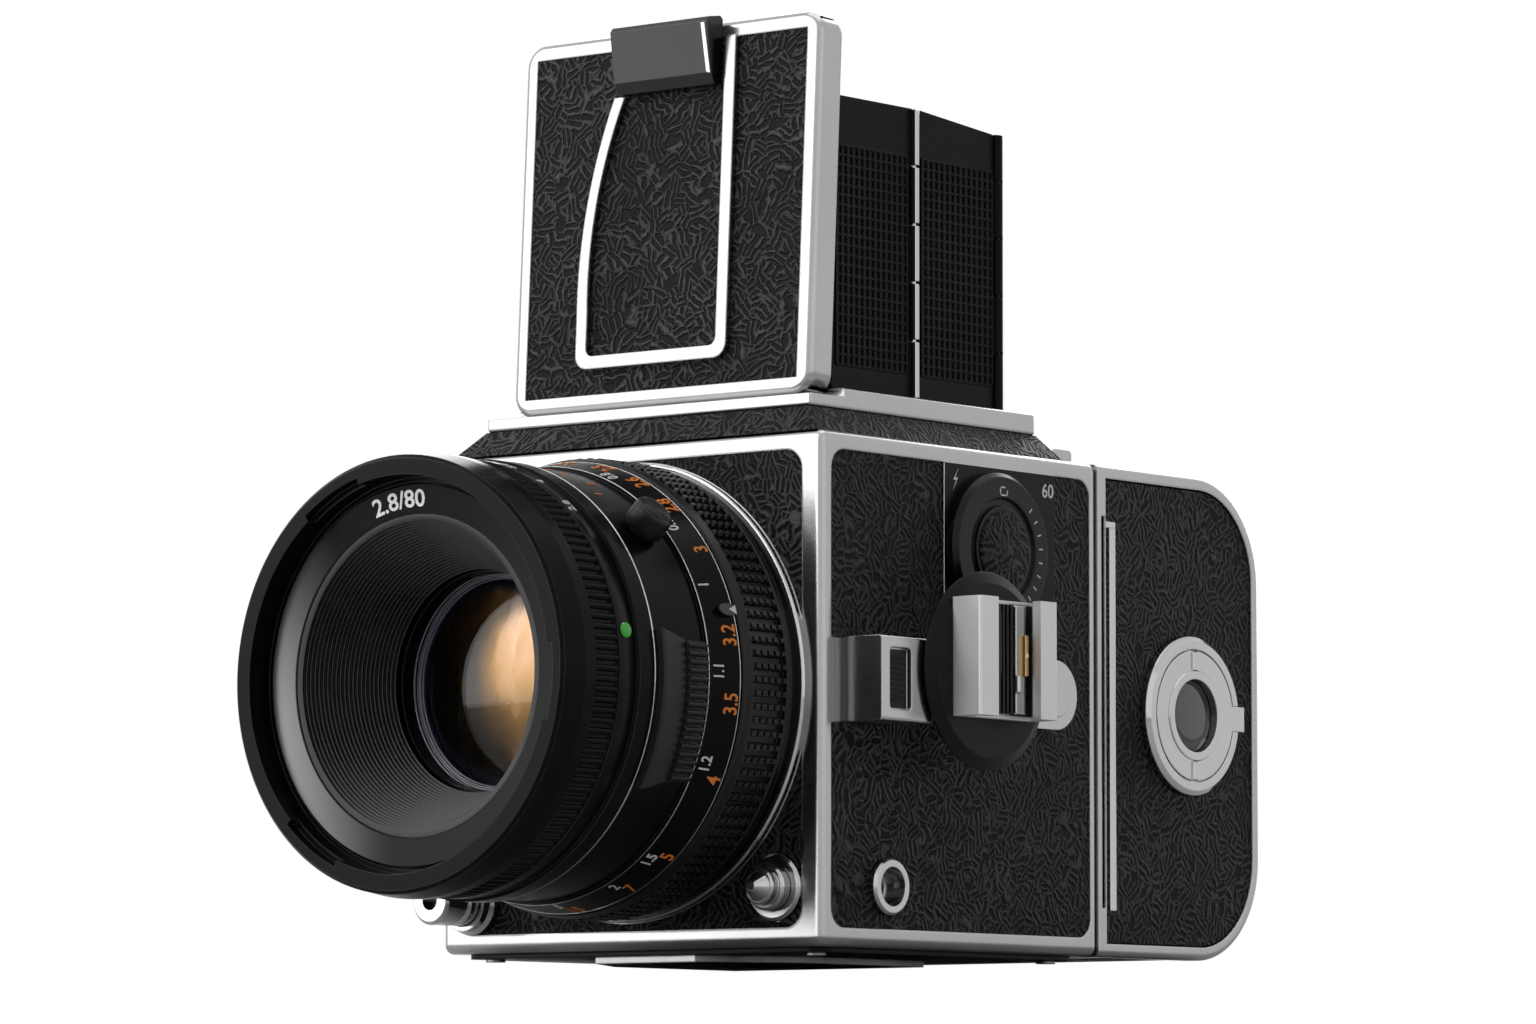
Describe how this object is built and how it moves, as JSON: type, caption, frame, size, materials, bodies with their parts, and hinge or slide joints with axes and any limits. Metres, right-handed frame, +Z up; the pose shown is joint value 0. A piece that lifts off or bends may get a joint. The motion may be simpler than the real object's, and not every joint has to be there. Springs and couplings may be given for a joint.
{
  "type": "medium format film camera",
  "caption": "Box-shaped single lens reflex film camera with a folding waist-level hood, ribbed lens, accessory shoe on one side, winding crank on the other and a rounded film magazine.",
  "frame": {"origin": "middle of the tripod socket's mouth, in the bottom face of the foot", "axes": "+Z up, the lens looks along -Y, the film magazine is at +Y, the accessory shoe is on the +X side"},
  "size_m": [0.1128, 0.1851, 0.1617],
  "materials": {
    "chrome_trim": "satin chromed metal",
    "bright_chrome": "polished chrome",
    "black_leather": "black grained leather cloth",
    "black_enamel": "satin black enamel",
    "black_anodised": "black anodised aluminium",
    "black_plastic": "matte black plastic",
    "grip_rubber": "ribbed black rubber",
    "cast_alloy": "satin chromed aluminium casting",
    "matte_black_alloy": "matte black paint",
    "optical_glass": "coated optical glass",
    "screen_glass": "ground glass",
    "mirror_silver": "front silvered mirror",
    "steel": "bare steel",
    "brass_contact": "brass",
    "grey_anodised": "dark grey anodised aluminium"
  },
  "bodies": {
    "camera_body": {"body_casting": "cast_alloy", "body_coverings": "black_leather", "base_plate": "black_enamel", "tripod_foot": "steel", "lens_mount_ring": "bright_chrome", "mirror_chamber": "matte_black_alloy", "focusing_screen": "screen_glass", "body_fittings": "bright_chrome", "accessory_rail": "chrome_trim", "base_screws": "steel", "finder_band": "matte_black_alloy", "finder_plate": "cast_alloy", "finder_coverings": "black_leather", "lid_frame": "cast_alloy", "lid_plate": "matte_black_alloy"},
    "shutter_release": {"release_button": "bright_chrome"},
    "lens_release": {"lens_release_button": "bright_chrome"},
    "winding_knob": {"crank_knob": "bright_chrome", "drive_shaft": "steel"},
    "winding_crank": {"crank_arm": "chrome_trim"},
    "winding_handle": {"crank_handle": "bright_chrome"},
    "mirror": {"mirror_carrier": "matte_black_alloy", "mirror_glass": "mirror_silver"},
    "upper_light_flap": {"upper_flap": "matte_black_alloy"},
    "lower_light_flap": {"lower_flap": "matte_black_alloy"},
    "speed_dial": {"film_speed_dial": "black_plastic"},
    "mirror_lever": {"mirror_lever": "chrome_trim"},
    "accessory_shoe": {"shoe_channel": "bright_chrome", "shoe_spring": "black_plastic"},
    "shoe_lock": {"shoe_disc": "black_plastic"},
    "lid_latch": {"lid_latch": "black_enamel"},
    "left_front_leaf": {"left_front_leaf": "black_enamel"},
    "left_rear_leaf": {"left_rear_leaf": "black_enamel"},
    "rear_leaf": {"rear_leaf": "black_enamel"},
    "right_front_leaf": {"right_front_leaf": "black_enamel"},
    "right_rear_leaf": {"right_rear_leaf": "black_enamel"},
    "magnifier": {"magnifier_frame": "black_enamel", "magnifier_glass": "optical_glass"},
    "lens": {"lens_barrel": "black_anodised"},
    "focus_ring": {"focus_ring": "grip_rubber"},
    "lens_head": {"lens_head": "black_anodised", "head_sleeve": "black_anodised", "front_bezel": "black_anodised", "baffle_cone": "matte_black_alloy", "lens_elements": "optical_glass", "iris_blades": "black_enamel"},
    "sync_cap": {"sync_cap": "black_plastic"},
    "preview_tab": {"preview_tab": "grey_anodised"},
    "shutter_ring": {"shutter_ring": "black_anodised"},
    "aperture_ring": {"aperture_ring": "black_anodised"},
    "magazine": {"magazine_shell": "cast_alloy", "magazine_coverings": "black_leather"},
    "magazine_crank": {"magazine_crank": "chrome_trim"},
    "magazine_catch": {"magazine_catch": "chrome_trim"},
    "film_insert": {"film_insert": "matte_black_alloy", "insert_covering": "black_leather"},
    "supply_spool": {"supply_spool": "black_plastic"},
    "takeup_spool": {"takeup_spool": "black_plastic"},
    "insert_key": {"insert_key": "bright_chrome"},
    "key_bail": {"key_bail": "chrome_trim"}
  },
  "joints": [
    {"name": "release_press", "type": "slide", "parent": "camera_body", "child": "shutter_release", "axis": [0, 1, 0], "range_m": [0, 0.004], "stiffness_N_per_m": 180},
    {"name": "lens_release_press", "type": "slide", "parent": "camera_body", "child": "lens_release", "axis": [0, 1, 0], "range_m": [0, 0.003], "stiffness_N_per_m": 180},
    {"name": "winding_turn", "type": "hinge", "parent": "camera_body", "child": "winding_knob", "pos_m": [-0.042, 0.004, 0.04], "axis": [-1, 0, 0], "continuous": true},
    {"name": "crank_unfold", "type": "hinge", "parent": "winding_knob", "child": "winding_crank", "pos_m": [-0.0524, -0.0105, 0.04], "axis": [0, 0, 1], "range_deg": [0, 180]},
    {"name": "handle_spin", "type": "hinge", "parent": "winding_crank", "child": "winding_handle", "pos_m": [-0.0513, 0.013, 0.04], "axis": [-1, 0, 0], "continuous": true},
    {"name": "mirror_swing", "type": "hinge", "parent": "camera_body", "child": "mirror", "pos_m": [0, 0.0304, 0.0775], "axis": [-1, 0, 0], "range_deg": [0, 45]},
    {"name": "upper_flap_swing", "type": "hinge", "parent": "camera_body", "child": "upper_light_flap", "pos_m": [0, 0.0343, 0.0742], "axis": [-1, 0, 0], "range_deg": [0, 90]},
    {"name": "lower_flap_swing", "type": "hinge", "parent": "camera_body", "child": "lower_light_flap", "pos_m": [0, 0.0343, 0.017], "axis": [1, 0, 0], "range_deg": [0, 90]},
    {"name": "speed_dial_turn", "type": "hinge", "parent": "camera_body", "child": "speed_dial", "pos_m": [0.042, 0.0084, 0.0706], "axis": [1, 0, 0], "range_deg": [-120, 120]},
    {"name": "mirror_lever_swing", "type": "hinge", "parent": "camera_body", "child": "mirror_lever", "pos_m": [-0.042, 0.025, 0.02], "axis": [-1, 0, 0], "range_deg": [0, 40]},
    {"name": "shoe_slide", "type": "slide", "parent": "camera_body", "child": "accessory_shoe", "axis": [0, 1, 0], "range_m": [-0.0068, 0.015]},
    {"name": "shoe_lock_turn", "type": "hinge", "parent": "accessory_shoe", "child": "shoe_lock", "pos_m": [0.0518, -0.0064, 0.0488], "axis": [1, 0, 0], "continuous": true},
    {"name": "latch_slide", "type": "slide", "parent": "camera_body", "child": "lid_latch", "axis": [-1, 0, 0], "range_m": [0, 0.003], "stiffness_N_per_m": 120},
    {"name": "hood_fold", "type": "hinge", "parent": "camera_body", "child": "left_front_leaf", "pos_m": [-0.0304, -0.0226, 0.12], "axis": [0, 0, -1], "range_deg": [0, 80]},
    {"name": "left_hood_bend", "type": "hinge", "parent": "left_front_leaf", "child": "left_rear_leaf", "pos_m": [-0.0304, 0.0012, 0.12], "axis": [0, 0, -1], "range_deg": [-160, 0]},
    {"name": "rear_leaf_swing", "type": "hinge", "parent": "left_rear_leaf", "child": "rear_leaf", "pos_m": [-0.0304, 0.025, 0.12], "axis": [0, 0, -1], "range_deg": [0, 80]},
    {"name": "right_hood_fold", "type": "hinge", "parent": "camera_body", "child": "right_front_leaf", "pos_m": [0.0304, -0.0226, 0.12], "axis": [0, 0, 1], "range_deg": [0, 80]},
    {"name": "right_hood_bend", "type": "hinge", "parent": "right_front_leaf", "child": "right_rear_leaf", "pos_m": [0.0304, 0.0012, 0.12], "axis": [0, 0, 1], "range_deg": [-160, 0]},
    {"name": "magnifier_flip", "type": "hinge", "parent": "camera_body", "child": "magnifier", "pos_m": [0, -0.02497, 0.1488], "axis": [1, 0, 0], "range_deg": [0, 87]},
    {"name": "lens_bayonet_turn", "type": "hinge", "parent": "camera_body", "child": "lens", "pos_m": [0, -0.0385, 0.0456], "axis": [0, -1, 0], "range_deg": [0, 65]},
    {"name": "focus_turn", "type": "hinge", "parent": "lens", "child": "focus_ring", "pos_m": [0, -0.0385, 0.0456], "axis": [0, -1, 0], "range_deg": [0, 270]},
    {"name": "head_travel", "type": "slide", "parent": "lens", "child": "lens_head", "axis": [0, -1, 0], "range_m": [0, 0.008]},
    {"name": "shutter_ring_turn", "type": "hinge", "parent": "lens_head", "child": "shutter_ring", "pos_m": [0, -0.0385, 0.0456], "axis": [0, -1, 0], "range_deg": [-50, 50]},
    {"name": "aperture_ring_turn", "type": "hinge", "parent": "lens_head", "child": "aperture_ring", "pos_m": [0, -0.0385, 0.0456], "axis": [0, -1, 0], "range_deg": [0, 60]},
    {"name": "preview_tab_swing", "type": "hinge", "parent": "lens_head", "child": "preview_tab", "pos_m": [0, -0.0385, 0.0456], "axis": [0, -1, 0], "range_deg": [0, 18]},
    {"name": "sync_cap_turn", "type": "hinge", "parent": "lens_head", "child": "sync_cap", "pos_m": [0.02898, -0.0675, 0.0717], "axis": [0.7431, 0, 0.6691], "continuous": true},
    {"name": "magazine_tilt", "type": "hinge", "parent": "camera_body", "child": "magazine", "pos_m": [0, 0.0386, 0.0034], "axis": [-1, 0, 0], "range_deg": [0, 20]},
    {"name": "magazine_crank_turn", "type": "hinge", "parent": "magazine", "child": "magazine_crank", "pos_m": [-0.042, 0.0656, 0.0452], "axis": [-1, 0, 0], "continuous": true},
    {"name": "magazine_catch_slide", "type": "slide", "parent": "magazine", "child": "magazine_catch", "axis": [1, 0, 0], "range_m": [0, 0.004], "stiffness_N_per_m": 120},
    {"name": "insert_slide", "type": "slide", "parent": "magazine", "child": "film_insert", "axis": [1, 0, 0], "range_m": [0, 0.07]},
    {"name": "takeup_turn", "type": "hinge", "parent": "film_insert", "child": "takeup_spool", "pos_m": [0, 0.066, 0.0645], "axis": [-1, 0, 0], "continuous": true},
    {"name": "supply_turn", "type": "hinge", "parent": "film_insert", "child": "supply_spool", "pos_m": [0, 0.066, 0.027], "axis": [-1, 0, 0], "continuous": true},
    {"name": "key_turn", "type": "hinge", "parent": "film_insert", "child": "insert_key", "pos_m": [0.04115, 0.0656, 0.0452], "axis": [1, 0, 0], "range_deg": [0, 90]},
    {"name": "key_bail_fold", "type": "hinge", "parent": "insert_key", "child": "key_bail", "pos_m": [0.04308, 0.0656, 0.0452], "axis": [0, 0, -1], "range_deg": [0, 90]}
  ],
  "couplings": [
    {"joint": "upper_flap_swing", "follows": "mirror_swing", "ratio": 2},
    {"joint": "lower_flap_swing", "follows": "mirror_swing", "ratio": 2},
    {"joint": "left_hood_bend", "follows": "hood_fold", "ratio": -2},
    {"joint": "rear_leaf_swing", "follows": "hood_fold", "ratio": 1},
    {"joint": "right_hood_fold", "follows": "hood_fold", "ratio": 1},
    {"joint": "right_hood_bend", "follows": "hood_fold", "ratio": -2},
    {"joint": "head_travel", "follows": "focus_turn", "m_per_rad": 0.0016976},
    {"joint": "magazine_crank_turn", "follows": "takeup_turn", "ratio": 1},
    {"joint": "supply_turn", "follows": "takeup_turn", "ratio": 1}
  ]
}
